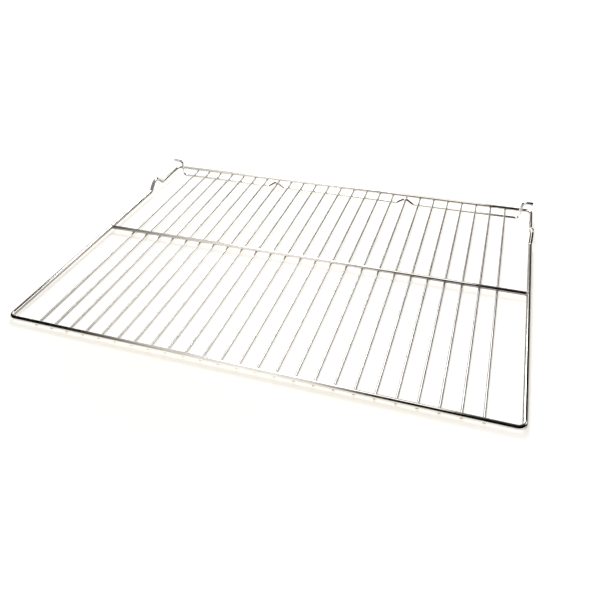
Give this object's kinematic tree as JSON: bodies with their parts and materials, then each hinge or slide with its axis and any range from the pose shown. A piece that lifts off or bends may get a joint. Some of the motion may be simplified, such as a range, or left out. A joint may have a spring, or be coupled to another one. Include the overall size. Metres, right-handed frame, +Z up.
{
  "type": "oven shelf rack",
  "caption": "Plated wire oven rack: bent frame with raised side stops, cross bar, straight grid wires below it and a low rear stop wire ending in upright hooks.",
  "frame": {"origin": "middle of the rack's footprint, at the height of the rear rail's underside, which is its lowest line", "axes": "+X across the rack to the right as seen from its front bar, +Y from the front bar to the back bar, +Z up, the way the stop bumps and hooks stand"},
  "size_m": [0.7032, 0.5234, 0.0368],
  "materials": {
    "plated_wire": "bright plated drawn steel wire"
  },
  "bodies": {
    "root": {"outer_frame": "plated_wire", "cross_bar": "plated_wire", "rear_stop_wire": "plated_wire", "grid_wire_01": "plated_wire", "grid_wire_02": "plated_wire", "grid_wire_03": "plated_wire", "grid_wire_04": "plated_wire", "grid_wire_05": "plated_wire", "grid_wire_06": "plated_wire", "grid_wire_07": "plated_wire", "grid_wire_08": "plated_wire", "grid_wire_09": "plated_wire", "grid_wire_10": "plated_wire", "grid_wire_11": "plated_wire", "grid_wire_12": "plated_wire", "grid_wire_13": "plated_wire", "grid_wire_14": "plated_wire", "grid_wire_15": "plated_wire", "grid_wire_16": "plated_wire", "grid_wire_17": "plated_wire", "grid_wire_18": "plated_wire", "grid_wire_19": "plated_wire", "grid_wire_20": "plated_wire", "grid_wire_21": "plated_wire", "grid_wire_22": "plated_wire", "grid_wire_23": "plated_wire", "grid_wire_24": "plated_wire", "grid_wire_25": "plated_wire"}
  },
  "joints": []
}
